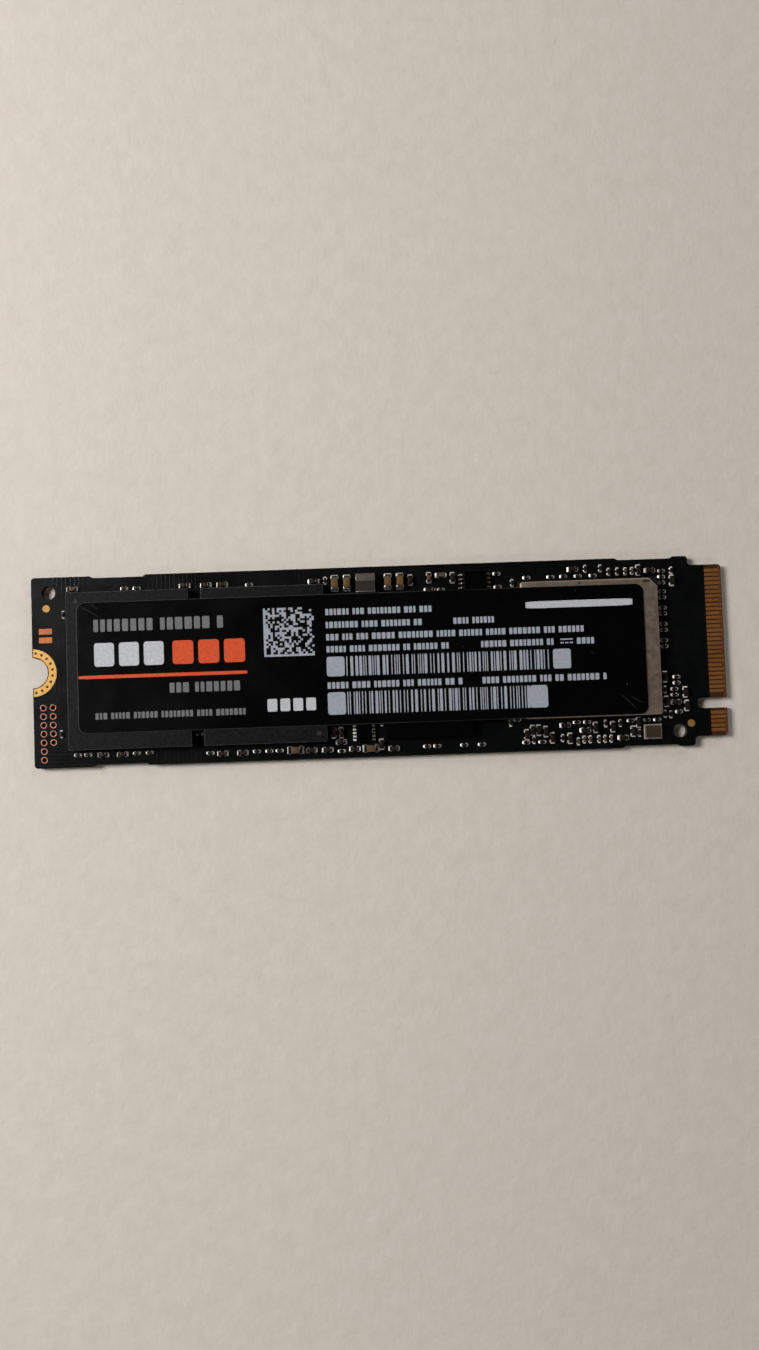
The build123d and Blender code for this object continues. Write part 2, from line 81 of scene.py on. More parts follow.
class Surface:
    """Procedural material: two noise-mixed colours, uneven roughness and a fine bump, in object space."""

    def __init__(self, name, dark, light, rough, scale, metallic=0.0, bump=0.0, bump_scale=None,
                 stretch=(1.0, 1.0, 1.0), spread=0.06, specular=0.3):
        self.material = bpy.data.materials.new(name)
        self.material.use_nodes = True
        self.tree = self.material.node_tree
        self.shader = self.tree.nodes["Principled BSDF"]
        self.shader.inputs["Metallic"].default_value = metallic
        self.shader.inputs["Specular IOR Level"].default_value = specular
        self.coords = self.add("ShaderNodeTexCoord").outputs["Object"]
        self.stretched = self.add("ShaderNodeMapping", Vector=self.coords, Scale=stretch).outputs["Vector"]
        self.colour = self.two_tone(self.noise(scale), 0.3, 0.7, dark, light)
        self.tree.links.new(self.colour, self.shader.inputs["Base Color"])
        self.rough = self.ramped(
            self.noise(scale * 0.37), 0.3, 0.7, max(rough - spread, 0.02), min(rough + spread, 1.0))
        self.tree.links.new(self.rough, self.shader.inputs["Roughness"])
        self.height = self.noise(bump_scale or scale * 2.0)
        if bump:
            self.relief = self.add("ShaderNodeBump", Height=self.height, Strength=0.6, Distance=bump * MM)
            self.tree.links.new(self.relief.outputs["Normal"], self.shader.inputs["Normal"])

    def add(self, kind, **inputs):
        """New node with its inputs linked to sockets or set to values."""
        node = self.tree.nodes.new(kind)
        for name, value in inputs.items():
            if isinstance(value, bpy.types.NodeSocket):
                self.tree.links.new(value, node.inputs[name])
            else:
                node.inputs[name].default_value = value
        return node

    def noise(self, scale, detail=5.0, vector=None):
        node = self.add(
            "ShaderNodeTexNoise", Vector=vector or self.stretched, Scale=scale, Detail=detail, Roughness=0.6)
        return node.outputs["Fac"]

    def cells(self, scale):
        """Distance to the nearest of many scattered points."""
        return self.add("ShaderNodeTexVoronoi", Vector=self.coords, Scale=scale).outputs["Distance"]

    def distance(self, place):
        """Distance to one place on the object."""
        node = self.add("ShaderNodeVectorMath", Vector=self.coords)
        node.operation = "DISTANCE"
        node.inputs[1].default_value = place
        return node.outputs["Value"]

    def upright(self):
        """1 where the surface faces up, 0 on its sides."""
        normal = self.add("ShaderNodeNewGeometry").outputs["Normal"]
        return self.add("ShaderNodeSeparateXYZ", Vector=normal).outputs["Z"]

    def two_tone(self, value, low, high, dark, light):
        """Ramp between two display colours."""
        node = self.add("ShaderNodeValToRGB", Fac=value)
        for stop, position, colour in zip(node.color_ramp.elements, (low, high), (dark, light)):
            stop.position = position
            stop.color = linear(colour)
        return node.outputs["Color"]

    def math(self, operation, first, second=0.0):
        node = self.tree.nodes.new("ShaderNodeMath")
        node.operation = operation
        for socket, value in zip(node.inputs, (first, second)):
            if isinstance(value, bpy.types.NodeSocket):
                self.tree.links.new(value, socket)
            else:
                socket.default_value = value
        return node.outputs["Value"]

    def axis(self, name):
        return self.add("ShaderNodeSeparateXYZ", Vector=self.coords).outputs[name]

    def ramped(self, value, low, high, start=0.0, end=1.0):
        """Value mapped from low..high to start..end, and clamped."""
        limits = {"From Min": low, "From Max": high, "To Min": start, "To Max": end}
        return self.add("ShaderNodeMapRange", Value=value, **limits).outputs["Result"]

    def crease(self, x0, y0, x1, y1, half_width):
        """Mask of a fine line between two places on the label, in millimetres, that fades to its ends."""
        length = math.hypot(x1 - x0, y1 - y0)
        ux, uy = (x1 - x0) / length, (y1 - y0) / length
        dx = self.math("SUBTRACT", self.axis("X"), x0 * MM)
        dy = self.math("SUBTRACT", self.axis("Y"), y0 * MM)
        along = self.math("ADD", self.math("MULTIPLY", dx, ux), self.math("MULTIPLY", dy, uy))
        aside = self.math("SUBTRACT", self.math("MULTIPLY", dy, ux), self.math("MULTIPLY", dx, uy))
        line = self.ramped(self.math("ABSOLUTE", aside), half_width * MM, 0.0)
        middle = self.math("ABSOLUTE", self.math("SUBTRACT", along, length / 2 * MM))
        return self.math("MULTIPLY", line, self.ramped(middle, length / 2 * MM, length / 4 * MM))

    def tint(self, mask, colour):
        """Another colour, a display colour or a socket, laid over the base colour by a mask."""
        node = self.tree.nodes.new("ShaderNodeMix")
        node.data_type = "RGBA"
        self.tree.links.new(mask, node.inputs["Factor"])
        self.tree.links.new(self.colour, node.inputs[6])
        if isinstance(colour, bpy.types.NodeSocket):
            self.tree.links.new(colour, node.inputs[7])
        else:
            node.inputs[7].default_value = linear(colour)
        self.colour = node.outputs[2]
        self.tree.links.new(self.colour, self.shader.inputs["Base Color"])

    def roughen(self, mask, value):
        """Another roughness laid over by a mask."""
        node = self.tree.nodes.new("ShaderNodeMix")
        node.data_type = "FLOAT"
        self.tree.links.new(mask, node.inputs[0])
        self.tree.links.new(self.rough, node.inputs[2])
        node.inputs[3].default_value = value
        self.rough = node.outputs[0]
        self.tree.links.new(self.rough, self.shader.inputs["Roughness"])


def board_surface():
    """Black mask over copper tracks, bare brown laminate at the connector, raw laminate on the cut edges, and a dark
    brown band round the screw notch that is partly painted shade.
    """
    mask = Surface("solder_mask_black", (4, 6, 5), (8, 10, 9), 0.34, 900, bump=0.008, bump_scale=2600, specular=0.16)
    laminate = mask.two_tone(mask.noise(5200, vector=mask.coords), 0.35, 0.65, (46, 25, 13), (66, 36, 18))
    bare = mask.math("GREATER_THAN", mask.axis("X"), BARE_FROM)
    mask.tint(bare, laminate)
    mask.tint(mask.math("GREATER_THAN", mask.axis("X"), TIP_FROM), (98, 54, 28))
    sides = mask.math("LESS_THAN", mask.math("ABSOLUTE", mask.upright()), 0.5)
    mask.tint(sides, (44, 36, 25))
    mask.roughen(mask.math("MAXIMUM", bare, sides), 0.7)
    # Partly painted shade: dark brown round the screw notch, the rim's own dark colour darkened further to stand in
    # for the shade on the notch wall.
    rim = mask.distance((SCREW_X, 0.0, BOARD_TOP))
    mask.tint(mask.math("LESS_THAN", rim, NOTCH_RIM_RADIUS), (70, 37, 22))
    # Copper tracks and small holes show as a faint relief in the mask
    region = mask.noise(110, detail=1.0, vector=mask.coords)
    relief = mask.height
    for axis, pitch, low, high in (("Y", 0.42, 0.5, 0.53), ("X", 0.5, 0.46, 0.43)):
        wave = mask.math("SINE", mask.math("MULTIPLY", mask.axis(axis), 2 * math.pi / (pitch * MM)))
        tracks = mask.math("MULTIPLY", mask.ramped(wave, 0.2, 0.5), mask.ramped(region, low, high))
        relief = mask.math("ADD", relief, mask.math("MULTIPLY", tracks, 0.9))
    relief = mask.math("SUBTRACT", relief, mask.ramped(mask.cells(520.0), 0.11, 0.07))
    mask.tree.links.new(relief, mask.relief.inputs["Height"])
    return mask


def label_surface():
    """Black film with dust, a painted highlight on its bevelled edges, and a few creases with a painted highlight
    along each.
    """
    film = Surface("label_film_black", (2, 2, 2), (3, 3, 3), 0.3, 500, bump=0.002, bump_scale=9000, specular=0.14)
    film.tint(film.math("LESS_THAN", film.cells(420.0), 0.035), (70, 68, 66))
    # Painted highlight: the bevelled edges, which do not face straight up, are painted pale where they catch the
    # light.
    film.tint(film.math("LESS_THAN", film.upright(), 0.93), (78, 76, 75))
    # Painted highlight: each crease is a fine pale line painted where the fold catches the light.
    for ends in LABEL_CREASES:
        film.tint(film.crease(*ends, half_width=0.07), (42, 41, 42))
    return film


def contact_surface():
    """Gold rubbed along the contacts."""
    gold = Surface("worn_gold", (148, 96, 48), (172, 118, 66), 0.42, 1500, metallic=0.65, bump=0.003,
                   stretch=(0.25, 1.0, 1.0))
    worn = gold.ramped(gold.noise(2200, vector=gold.stretched), 0.58, 0.72)
    gold.tint(worn, (126, 88, 52))
    return gold


def mould_surface():
    """Grainy black compound with a painted highlight on its bevelled top edges, and a paler round dimple in a corner
    of each flash package.
    """
    mould = Surface("mould_compound", (1, 1, 2), (24, 23, 24), 0.5, 3800, bump=0.03, bump_scale=4200, specular=0.14)
    # Painted highlight: a pale band painted on the bevelled top edges, where they catch the light.
    slope = mould.math("ABSOLUTE", mould.math("SUBTRACT", mould.upright(), 0.6))
    mould.tint(mould.ramped(slope, 0.34, 0.2), (140, 138, 137))
    for place in DIMPLE_PLACES:
        mould.tint(mould.math("LESS_THAN", mould.distance(place), DIMPLE_RADIUS), (46, 45, 47))
    return mould


def sleeve_surface():
    """Copper rim round a bore whose wall is painted dark as shade."""
    copper = Surface("pink_copper", (190, 128, 104), (212, 150, 124), 0.45, 2600, metallic=0.3, bump=0.004)
    half = BOARD_TOP / 2
    depth = copper.math("ABSOLUTE", copper.math("SUBTRACT", copper.axis("Z"), half))
    # Painted shade: below a thin band at each rim, the bore wall is painted near black for the shade inside the hole.
    copper.tint(copper.ramped(depth, half - 0.01 * MM, half - 0.025 * MM), (20, 12, 9))
    return copper


def can_surface():
    """Metal can: the raised rim keeps the bright metal as a painted highlight, and the recessed middle and the sides
    are painted duller as shade.
    """
    metal = Surface("crystal_lid", (168, 158, 148), (206, 198, 188), 0.3, 1500, metallic=0.8, bump=0.006)
    # Painted shade below the rim: everything lower than the top face turns duller, leaving the rim bright as a
    # painted highlight.
    metal.tint(metal.ramped(metal.axis("Z"), CAN_TOP - 0.012 * MM, CAN_TOP - 0.03 * MM), (112, 97, 80))
    return metal


surfaces = {
    "solder_mask": board_surface(),
    "label_film": label_surface(),
    "gold_contacts": contact_surface(),
    "gold_pads": Surface("bright_gold", (198, 152, 82), (216, 170, 98), 0.5, 2400, metallic=0.45, bump=0.006),
    "copper_pads": Surface("copper_pads", (166, 98, 56), (184, 115, 70), 0.45, 2000, metallic=0.45, bump=0.004),
    "fiducial_gold": Surface("fiducial_gold", (162, 122, 68), (182, 140, 80), 0.5, 2400, metallic=0.6, bump=0.006),
    "pink_copper": sleeve_surface(),
    "mould_compound": mould_surface(),
    "memory_compound": Surface("memory_compound", (1, 1, 2), (3, 3, 5), 0.4, 6000, bump=0.006, bump_scale=15000,
                               specular=0.05),
    "package_substrate": Surface("package_substrate", (12, 14, 12), (20, 22, 18), 0.5, 2500, bump=0.004),
    "nickel_lid": Surface("nickel_lid", (166, 148, 132), (184, 166, 150), 0.48, 3500, metallic=1.0, bump=0.006,
                          bump_scale=12000),
    "solder": Surface("solder", (236, 234, 230), (250, 248, 245), 0.34, 2600, metallic=0.5, bump=0.006),
    "tin_terminals": Surface("tin_terminals", (132, 126, 118), (176, 170, 162), 0.26, 3000, metallic=1.0, bump=0.006),
    # Painted shade: the small chips' tin terminals are painted far darker than tin, standing in for the dark
    # reflection on their tops.
    "shaded_tin_terminals": Surface("shaded_tin_terminals", (46, 42, 38), (76, 70, 64), 0.3, 3000, metallic=1.0, bump=0.006),
    "dark_chips": Surface("dark_chips", (9, 7, 6), (21, 16, 13), 0.5, 3000, bump=0.006),
    "brown_chips": Surface("brown_chips", (70, 54, 38), (92, 72, 50), 0.5, 2600, bump=0.006),
    "tan_chips": Surface("tan_chips", (82, 58, 32), (106, 79, 46), 0.5, 2600, bump=0.006),
    "inductor_core": Surface("inductor_core", (27, 22, 17), (42, 35, 28), 0.6, 4200, bump=0.02, bump_scale=9000),
    "inductor_bands": Surface("inductor_bands", (136, 129, 118), (164, 158, 148), 0.38, 1800, metallic=1.0,
                              bump=0.01),
    "crystal_base": Surface("crystal_base", (128, 118, 106), (160, 150, 138), 0.5, 3000, bump=0.006),
    "crystal_lid": can_surface(),
    "print_grey": Surface("print_grey", (146, 151, 160), (164, 169, 178), 0.5, 4000),
    "print_dim": Surface("print_dim", (98, 98, 100), (114, 114, 116), 0.5, 4000),
    "print_pale": Surface("print_pale", (172, 174, 178), (196, 198, 201), 0.5, 4000),
    "print_orange": Surface("print_orange", (196, 66, 28), (216, 84, 42), 0.5, 4000),
    "lid_mark": Surface("lid_mark", (46, 38, 32), (62, 52, 44), 0.5, 5000),
    "via_hole_shade": Surface("via_hole_shade", (26, 12, 4), (44, 22, 8), 0.6, 4000),
}


def paint(piece, surface):
    piece.data.materials.clear()
    piece.data.materials.append(surfaces[surface].material)


# Pieces
def deselect():
    if bpy.context.mode != "OBJECT":
        bpy.ops.object.mode_set(mode="OBJECT")
    bpy.ops.object.select_all(action="DESELECT")


def take(piece):
    """Only this piece selected and active."""
    deselect()
    piece.select_set(True)
    bpy.context.view_layer.objects.active = piece


def added(name):
    """The primitive that was just added, named."""
    piece = bpy.context.active_object
    piece.name = name
    return piece


def pick(piece, test):
    """In edit mode, only the faces whose centre and normal pass the test are selected."""
    bpy.ops.mesh.select_all(action="DESELECT")
    bpy.ops.object.mode_set(mode="OBJECT")
    for face in piece.data.polygons:
        face.select = test(face.center, face.normal)
    bpy.ops.object.mode_set(mode="EDIT")
    bpy.ops.mesh.select_mode(type="FACE")


def settle(piece, surface, slot, *replaced):
    """Finish and body of a piece, and the nodes that it stands for; the slot is not used."""
    paint(piece, surface)
    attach(piece, "root")
    if replaced:
        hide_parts(*replaced)
    return piece


def merged_copy(node, name):
    """Copy of a CAD node's mesh with its loose triangles joined."""
    piece = bpy.data.objects.new(name, cad[node].data.copy())
    bpy.context.scene.collection.objects.link(piece)
    take(piece)
    bpy.ops.object.mode_set(mode="EDIT")
    bpy.ops.mesh.select_all(action="SELECT")
    bpy.ops.mesh.remove_doubles(threshold=0.0005 * MM)
    bpy.ops.mesh.normals_make_consistent(inside=False)
    bpy.ops.mesh.dissolve_limited(angle_limit=math.radians(0.3))
    bpy.ops.object.mode_set(mode="OBJECT")
    return piece


def bevelled(piece, width, segments):
    take(piece)
    rounding = piece.modifiers.new("rounding", "BEVEL")
    rounding.width = width * MM
    rounding.segments = segments
    rounding.limit_method = "ANGLE"
    rounding.angle_limit = math.radians(35.0)
    bpy.ops.object.modifier_apply(modifier=rounding.name)
    bpy.ops.object.shade_smooth_by_angle(angle=math.radians(40.0))
    normals = piece.modifiers.new("normals", "WEIGHTED_NORMAL")
    normals.keep_sharp = True
    bpy.ops.object.modifier_apply(modifier=normals.name)
    return piece


def soften(node, width, segments, surface, slot):
    """A CAD node with its edges rounded over."""
    return settle(bevelled(merged_copy(node, node + "_soft"), width, segments), surface, slot, node)


def islands(piece):
    """Boxes of the separate solids in a mesh."""
    mesh = piece.data
    parent = list(range(len(mesh.vertices)))

    def root(i):
        while parent[i] != i:
            parent[i] = parent[parent[i]]
            i = parent[i]
        return i

    for edge in mesh.edges:
        parent[root(edge.vertices[0])] = root(edge.vertices[1])
    boxes = {}
    for i, vertex in enumerate(mesh.vertices):
        low, high = boxes.setdefault(root(i), (vertex.co.copy(), vertex.co.copy()))
        for k in range(3):
            low[k] = min(low[k], vertex.co[k])
            high[k] = max(high[k], vertex.co[k])
    return list(boxes.values())


def stamp(template, matrices, name):
    """Copies of a template, each with its own mesh, set at the given places and joined."""
    deselect()
    copies = []
    for matrix in matrices:
        copy = bpy.data.objects.new(name, template.data.copy())
        copy.data.transform(matrix)
        bpy.context.scene.collection.objects.link(copy)
        copy.select_set(True)
        copies.append(copy)
    bpy.context.view_layer.objects.active = copies[0]
    bpy.ops.object.join()
    joined = bpy.context.active_object
    joined.name = name
    return joined


def discard(template):
    bpy.data.objects.remove(template)


# Softened packages and parts
for node, width, segments, surface, slot in (
    ("flash_package_outer", 0.06, 3, "mould_compound", "mould_compound"),
    ("flash_package_inner", 0.06, 3, "mould_compound", "mould_compound"),
    ("memory_package", 0.05, 3, "memory_compound", "mould_compound"),
    ("controller_substrate", 0.03, 2, "package_substrate", "package_substrate"),
    ("controller_lid", 0.04, 3, "nickel_lid", "nickel_lid"),
    ("label", 0.06, 3, "label_film", "label_film"),
    ("inductor_core", 0.04, 2, "inductor_core", "inductor_core"),
    ("inductor_bands", 0.02, 2, "inductor_bands", "inductor_bands"),
    ("regulator_body", 0.04, 2, "memory_compound", "mould_compound"),
    ("regulator_pads", 0.02, 2, "solder", "solder"),
    ("load_switch_body", 0.06, 3, "memory_compound", "mould_compound"),
    ("load_switch_leads", 0.02, 2, "tin_terminals", "tin_terminals"),
    ("crystal_base", 0.04, 2, "crystal_base", "crystal_base"),
):
    soften(node, width, segments, surface, slot)

for node, surface, slot in (
    ("circuit_board", "solder_mask", "solder_mask"),
    ("screw_pad_top", "gold_pads", "gold_pads"),
    ("screw_pad_bottom", "gold_pads", "gold_pads"),
    ("fiducial_marks", "fiducial_gold", "copper_pads"),
    ("test_pads", "copper_pads", "copper_pads"),
    ("top_ground_contacts", "gold_contacts", "gold_contacts"),
    ("top_signal_contacts", "gold_contacts", "gold_contacts"),
    ("bottom_power_contacts", "gold_contacts", "gold_contacts"),
    ("bottom_signal_contacts", "gold_contacts", "gold_contacts"),
):
    paint(cad[node], surface)


# Crystal lid with a raised rim
can = merged_copy("crystal_lid", "crystal_lid_soft")
bpy.ops.object.mode_set(mode="EDIT")
pick(can, lambda centre, normal: normal.z > 0.9)
bpy.ops.mesh.inset(thickness=0.16 * MM)
bpy.ops.transform.translate(value=(0, 0, -0.05 * MM))
bpy.ops.object.mode_set(mode="OBJECT")
settle(bevelled(can, 0.03, 2), "crystal_lid", "crystal_lid", "crystal_lid")


# Chip parts with solder fillets round their terminals
def fillet_template():
    """Wedge of solder: unit reach along +X from the terminal, unit width and unit height."""
    deselect()
    bpy.ops.mesh.primitive_cube_add(size=1.0, location=(0.5, 0.0, 0.5))
    wedge = added("fillet_template")
    bpy.ops.object.transform_apply(location=True)
    bpy.ops.object.mode_set(mode="EDIT")
    for x in (0.2, 0.45, 0.75):
        bpy.ops.mesh.select_all(action="SELECT")
        bpy.ops.mesh.bisect(plane_co=(x, 0, 0), plane_no=(1, 0, 0))
    bpy.ops.object.mode_set(mode="OBJECT")
    for vertex in wedge.data.vertices:
        vertex.co.z *= (1.0 - vertex.co.x) ** 2 * 0.92 + 0.08
        vertex.co.y *= 1.0 - 0.12 * vertex.co.z
    take(wedge)
    bpy.ops.object.shade_smooth_by_angle(angle=math.radians(42.0))
    return wedge


def fillet_places(low, high, body_places):
    """Matrices of the fillets on the three free sides of one terminal, given its box and the bodies' places."""
    middle = (low + high) / 2
    away = middle - min(body_places, key=lambda place: (place - middle).length)
    size = high - low
    if abs(away.x) > abs(away.y):
        outward = Vector((math.copysign(1.0, away.x), 0, 0))
        length, width = size.x, size.y
    else:
        outward = Vector((0, math.copysign(1.0, away.y), 0))
        length, width = size.y, size.x
    across = Vector((-outward.y, outward.x, 0))
    matrices = []
    for facing, reach, run, depth in (
        (outward, END_REACH, width, length / 2),
        (across, SIDE_REACH, length, width / 2),
        (-across, SIDE_REACH, length, width / 2),
    ):
        along = Vector((-facing.y, facing.x, 0))
        foot = middle + facing * (depth - 0.01 * MM)
        rise = Vector((0, 0, size.z * SOLDER_RISE))
        matrix = Matrix((facing * reach, along * run, rise)).transposed().to_4x4()
        matrix.translation = Vector((foot.x, foot.y, BOARD_TOP))
        matrices.append(matrix)
    return matrices


wedge = fillet_template()
for group in CHIP_GROUPS:
    bodies = merged_copy(group + "_bodies", group + "_bodies_soft")
    terminals = merged_copy(group + "_terminals", group + "_terminals_soft")
    body_boxes = islands(bodies)
    body_places = [(low + high) / 2 for low, high in body_boxes]
    fillets = [matrix for low, high in islands(terminals) for matrix in fillet_places(low, high, body_places)]
    tall = max(high.z for low, high in body_boxes) > BOARD_TOP + TALL_CHIP
    body_finish, body_slot, terminal_finish = CHIP_FINISHES.get(group, PLAIN_CHIP_FINISH)
    settle(bevelled(bodies, 0.03 if tall else 0.02, 2), body_finish, body_slot, group + "_bodies")
    settle(bevelled(terminals, 0.08 if tall else 0.05, 3), terminal_finish, "tin_terminals", group + "_terminals")
    settle(stamp(wedge, fillets, group + "_fillets"), "solder", "solder")
discard(wedge)


# Solder balls under the packages
def ball_array(node, index, pitch, name):
    """Flattened balls on a grid that fills one solder field."""
    low, high = islands(merged_copy(node, "field"))[index]
    discard(bpy.data.objects["field"])
    counts = [int((high[k] - low[k]) / pitch / MM) + 1 for k in range(2)]
    start = [(low[k] + high[k]) / 2 - (counts[k] - 1) * pitch * MM / 2 for k in range(2)]
    deselect()
    bpy.ops.mesh.primitive_uv_sphere_add(
        segments=8, ring_count=6, radius=0.2 * MM, location=(start[0], start[1], (low.z + high.z) / 2))
    ball = added(name)
    ball.scale = (1.0, 1.0, 0.52)
    bpy.ops.object.transform_apply(location=True, scale=True)
    for k, count in enumerate(counts):
        repeat = ball.modifiers.new("repeat", "ARRAY")
        repeat.count = count
        repeat.use_relative_offset = False
        repeat.use_constant_offset = True
        repeat.constant_offset_displace = [pitch * MM if axis == k else 0.0 for axis in range(3)]
        bpy.ops.object.modifier_apply(modifier=repeat.name)
    bpy.ops.object.shade_smooth()
    return ball


flash_balls = [ball_array("flash_solder_joints", i, 1.0, f"flash_balls_{i}") for i in range(2)]
take(flash_balls[0])
flash_balls[1].select_set(True)
bpy.ops.object.join()
flash_balls[0].name = "flash_balls"
settle(flash_balls[0], "solder", "solder", "flash_solder_joints")
settle(ball_array("memory_solder_joints", 0, 0.8, "memory_balls"), "solder", "solder", "memory_solder_joints")
settle(ball_array("controller_solder_joints", 0, 0.8, "controller_balls"), "solder", "solder",
       "controller_solder_joints")


# Plated holes, and dark discs in the screw pad painted as the shade of its small holes
def ring_template(outer, inner, height, edge, name):
    """Upright tube with rounded rims, standing on z = 0."""
    deselect()
    bpy.ops.mesh.primitive_cylinder_add(
        vertices=28, radius=outer, depth=height, end_fill_type="NOTHING", location=(0, 0, height / 2))
    tube = added(name)
    bpy.ops.object.transform_apply(location=True)
    wall = tube.modifiers.new("wall", "SOLIDIFY")
    wall.thickness = outer - inner
    wall.offset = -1.0
    bpy.ops.object.modifier_apply(modifier=wall.name)
    return bevelled(tube, edge / MM, 2)


tube = ring_template(0.372 * MM, 0.285 * MM, BOARD_TOP, 0.008 * MM, "tube_template")
sleeve_boxes = islands(merged_copy("test_sleeves", "sleeve_field"))
discard(bpy.data.objects["sleeve_field"])
sleeves = [Matrix.Translation(((low.x + high.x) / 2, (low.y + high.y) / 2, 0)) for low, high in sleeve_boxes]
settle(stamp(tube, sleeves, "test_sleeves_round"), "pink_copper", "copper_pads", "test_sleeves")
discard(tube)

# Painted shade: each small hole in the screw pad is a shallow dark disc standing in for the shade inside it.
eyelet = ring_template(0.15 * MM, 0.012 * MM, 0.01 * MM, 0.003 * MM, "eyelet_template")
eyelets = []
for step in range(-81, 82, 18):
    x = SCREW_X + SCREW_PAD_RADIUS * math.cos(math.radians(step))
    y = SCREW_PAD_RADIUS * math.sin(math.radians(step))
    eyelets += [Matrix.Translation((x, y, z)) for z in (BOARD_TOP - 0.005 * MM, -0.001 * MM)]
settle(stamp(eyelet, eyelets, "screw_pad_eyelets"), "via_hole_shade", "gold_pads")
discard(eyelet)


# Label print
def label_top(x):
    """Height of the label's upper face at a place along the board."""
    for (x0, z0), (x1, z1) in zip(LABEL_PROFILE, LABEL_PROFILE[1:]):
        if x <= x1:
            return z0 + (z1 - z0) * (x - x0) / (x1 - x0)
    return LABEL_PROFILE[-1][1]


def tile_template():
    """Unit tile of print with softened corners and edges."""
    deselect()
    bpy.ops.mesh.primitive_cube_add(size=1.0, location=(0, 0, 0.5))
    tile = added("tile_template")
    bpy.ops.object.transform_apply(location=True)
    bpy.ops.object.mode_set(mode="EDIT")
    bpy.ops.mesh.select_all(action="SELECT")
    bpy.ops.mesh.bevel(offset=0.12, segments=2)
    bpy.ops.object.mode_set(mode="OBJECT")
    return tile


tile = tile_template()


def printed(name, boxes, surface):
    """Tiles of ink on the label, one for each (left, right, bottom, top) in millimetres."""
    matrices = [
        Matrix.Translation(((left + right) / 2 * MM, (bottom + top) / 2 * MM, 0))
        @ Matrix.Diagonal(((right - left) * MM, (top - bottom) * MM, INK * MM, 1.0))
        for left, right, bottom, top in boxes
    ]
    piece = stamp(tile, matrices, name)
    for vertex in piece.data.vertices:
        vertex.co.z += label_top(vertex.co.x / MM) * MM
    return settle(piece, surface, "label_film")


def text_row(left, right, bottom, top, seed):
    """Row of small tiles in uneven groups."""
    pick_from = random.Random(seed)
    height = top - bottom
    x = left
    tiles = []
    while x < right - 0.3 * height:
        for _ in range(pick_from.randint(2, 8)):
            wide = height * pick_from.choice((0.28, 0.36, 0.36, 0.44))
            if x + wide > right:
                break
            tiles.append((x, x + wide, bottom + 0.1 * height, bottom + 0.84 * height))
            x += wide + 0.13 * height
        x += 0.32 * height
    return tiles


def bar_row(left, right, bottom, top, end_block, seed):
    """Upright bars of seeded widths between two solid end blocks."""
    pick_from = random.Random(seed)
    bars = [(left, left + end_block, bottom, top), (right - end_block, right, bottom, top)]
    x = left + end_block + 0.2
    while x < right - end_block - 0.3:
        wide = pick_from.choice((0.12, 0.12, 0.22, 0.32))
        bars.append((x, x + wide, bottom, top))
        x += wide + pick_from.choice((0.12, 0.14, 0.24, 0.34))
    return bars


def matrix_code(left, right, bottom, top, cells, seed):
    """Square of seeded cells with two solid sides."""
    pick_from = random.Random(seed)
    wide, tall = (right - left) / cells, (top - bottom) / cells
    tiles = [(left, left + wide, bottom, top), (left + wide, right, bottom, bottom + tall)]
    for column in range(1, cells):
        run = 0
        for row in range(1, cells + 1):
            filled = row < cells and pick_from.random() < 0.5
            if filled:
                run += 1
            elif run:
                tiles.append((left + column * wide, left + (column + 1) * wide,
                              bottom + (row - run) * tall, bottom + row * tall))
                run = 0
    return tiles


def block_row(left, right, bottom, top, count, gap):
    """Even row of plain blocks."""
    wide = (right - left - (count - 1) * gap) / count
    return [(left + i * (wide + gap), left + i * (wide + gap) + wide, bottom, top) for i in range(count)]


small_print = [
    *text_row(-6.04, 6.81, 5.3, 6.28, 5),
    *text_row(-6.04, 5.23, 3.81, 4.8, 6),
    *text_row(8.59, 13.24, 3.81, 4.8, 7),
    *text_row(-6.04, 23.62, 2.4, 3.39, 8),
    *text_row(-6.04, 8.0, 1.01, 2.0, 9),
    *text_row(11.66, 20.4, 1.01, 2.0, 10),
    *text_row(22.6, 24.8, 1.01, 2.0, 11),
    *text_row(-6.04, 9.68, -3.14, -2.12, 12),
    *text_row(11.66, 25.99, -3.14, -2.12, 13),
    (20.71, 22.17, 1.62, 1.78),
    (20.71, 21.1, 1.22, 1.38), (21.25, 21.63, 1.22, 1.38), (21.78, 22.17, 1.22, 1.38),
]
printed("label_small_print", small_print, "print_grey")
printed("label_dim_print", [
    *text_row(-32.54, -17.51, 4.2, 6.1, 2),
    *text_row(-24.04, -15.43, -3.0, -1.45, 3),
    *text_row(-32.54, -15.24, -5.71, -4.72, 4),
], "print_dim")
printed("label_bars", [
    *bar_row(-6.08, 21.84, -1.63, 0.62, 2.05, 21),
    *bar_row(-6.08, 19.04, -6.0, -3.44, 2.05, 22),
    *matrix_code(-13.16, -7.38, 0.85, 6.42, 22, 23),
], "print_grey")
printed("label_pale_print", [
    *block_row(-32.54, -24.6, 0.4, 3.1, 3, 0.55),
    *block_row(-12.96, -7.43, -5.4, -3.95, 4, 0.35),
    (16.9, 29.16, 5.35, 6.15),
], "print_pale")
printed("label_orange_print", [
    (-34.37, -15.14, -0.97, -0.58),
    *block_row(-23.6, -15.34, 0.4, 3.1, 3, 0.55),
], "print_orange")
discard(tile)


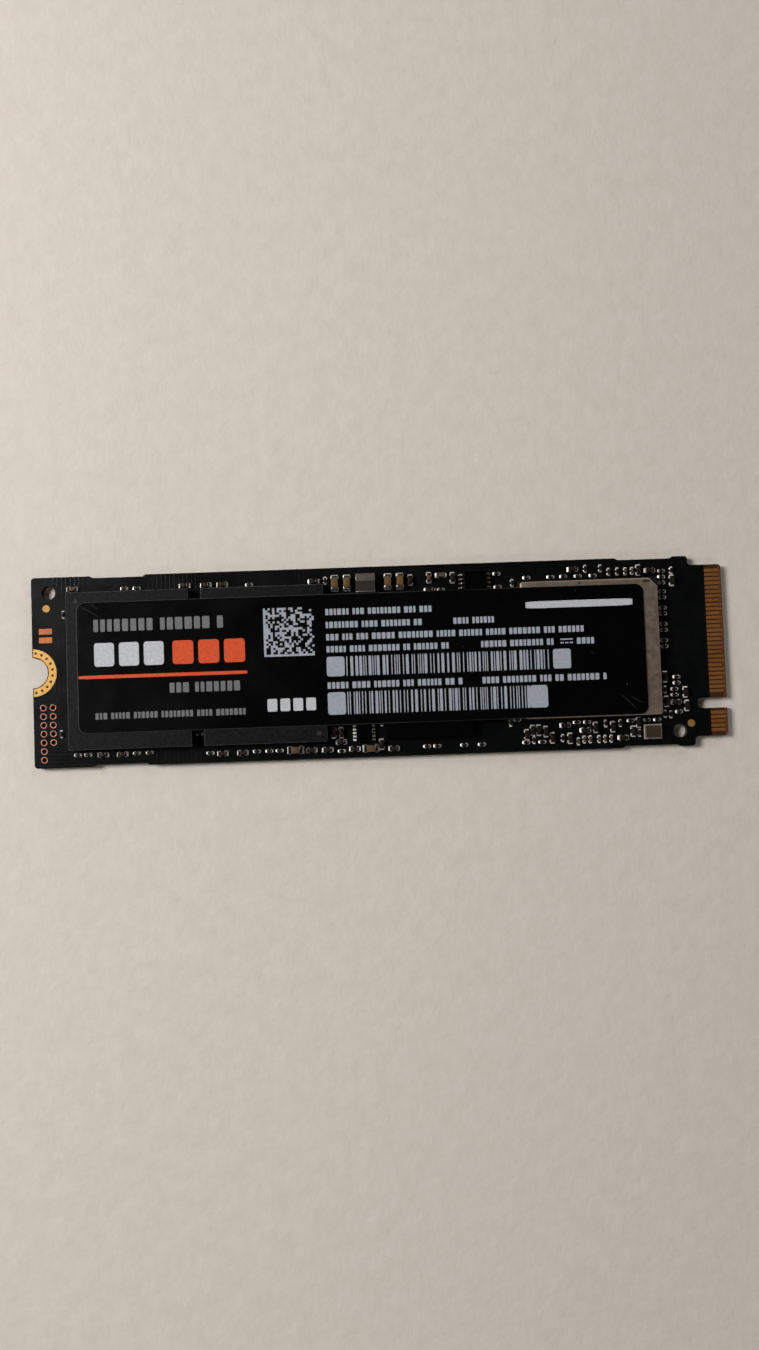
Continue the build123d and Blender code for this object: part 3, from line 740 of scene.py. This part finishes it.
# Marks on the metal lid
def lid_mark(x, y, length, width, name):
    """Shallow oval mark, placed and sized in millimetres."""
    deselect()
    bpy.ops.mesh.primitive_cylinder_add(vertices=32, radius=0.5 * MM, depth=0.006 * MM, location=(0, 0, 0))
    mark = added(name)
    bpy.ops.object.mode_set(mode="EDIT")
    pick(mark, lambda centre, normal: normal.z > 0.9)
    bpy.ops.mesh.inset(thickness=0.06 * MM)
    bpy.ops.transform.translate(value=(0, 0, -0.003 * MM))
    bpy.ops.object.mode_set(mode="OBJECT")
    mark.data.transform(
        Matrix.Translation((x * MM, y * MM, LID_TOP + 0.001 * MM)) @ Matrix.Diagonal((length, width, 1.0, 1.0)))
    return settle(mark, "lid_mark", "nickel_lid")


lid_mark(30.9, 8.08, 1.0, 0.32, "lid_mark_long")
lid_mark(23.2, 8.1, 0.3, 0.3, "lid_mark_dot")


# Floor, light and camera
def floor():
    deselect()
    bpy.ops.mesh.primitive_plane_add(size=8.0, location=(0, 0, -0.00002))
    ground = added("floor")
    surfaces["floor"] = Surface("floor", (207, 199, 189), (213, 205, 196), 0.8, 420, bump=0.14, bump_scale=700)
    paint(ground, "floor")


def lamp(name, place, target, size, power, colour):
    light = bpy.data.lights.new(name, "AREA")
    light.shape = "DISK"
    light.size = size
    light.energy = power
    light.color = colour
    piece = bpy.data.objects.new(name, light)
    piece.location = place
    piece.rotation_euler = (Vector(target) - Vector(place)).to_track_quat("-Z", "Y").to_euler()
    bpy.context.scene.collection.objects.link(piece)


floor()
lamp("window", (-0.29, 0.085, 0.25), (-0.02, 0.0, 0.0), 0.15, 1.62, (1.0, 0.985, 0.97))
lamp("ceiling", (0.04, -0.3, 0.24), (0.0, 0.0, 0.0), 0.07, 0.09, (1.0, 0.98, 0.96))
lamp("room", (0.4, 0.5, 0.34), (0.0, 0.05, 0.0), 0.3, 0.72, (1.0, 0.975, 0.95))

# Room that is pale at the horizon and dark overhead
world = bpy.data.worlds.new("world")
bpy.context.scene.world = world
world.use_nodes = True
sky = world.node_tree
background = sky.nodes["Background"]
direction = sky.nodes.new("ShaderNodeTexCoord")
split = sky.nodes.new("ShaderNodeSeparateXYZ")
ramp = sky.nodes.new("ShaderNodeValToRGB")
sky.links.new(direction.outputs["Generated"], split.inputs["Vector"])
sky.links.new(split.outputs["Z"], ramp.inputs["Fac"])
sky.links.new(ramp.outputs["Color"], background.inputs["Color"])
horizon, overhead = ramp.color_ramp.elements
horizon.position, horizon.color = 0.15, (0.4, 0.385, 0.37, 1.0)
overhead.position, overhead.color = 0.8, (0.02, 0.02, 0.02, 1.0)
background.inputs["Strength"].default_value = 1.0

camera_data = bpy.data.cameras.new("camera")
camera_data.lens = 27.067
camera_data.sensor_width = 36.0
camera_data.clip_start = 0.005
camera_data.clip_end = 10.0
camera = bpy.data.objects.new("camera", camera_data)
right = Vector((0.99936197, -0.03523151, 0.00586429))
down = Vector((-0.03495509, -0.99850719, -0.04197046))
ahead = Vector((0.00733422, 0.04173869, -0.99910164))
camera.matrix_world = Matrix((
    (right.x, -down.x, -ahead.x, -0.93762 * MM),
    (right.y, -down.y, -ahead.y, -6.48755 * MM),
    (right.z, -down.z, -ahead.z, 117.87037 * MM),
    (0.0, 0.0, 0.0, 1.0),
))
bpy.context.scene.collection.objects.link(camera)
bpy.context.scene.camera = camera
bpy.context.scene.view_settings.view_transform = "Standard"
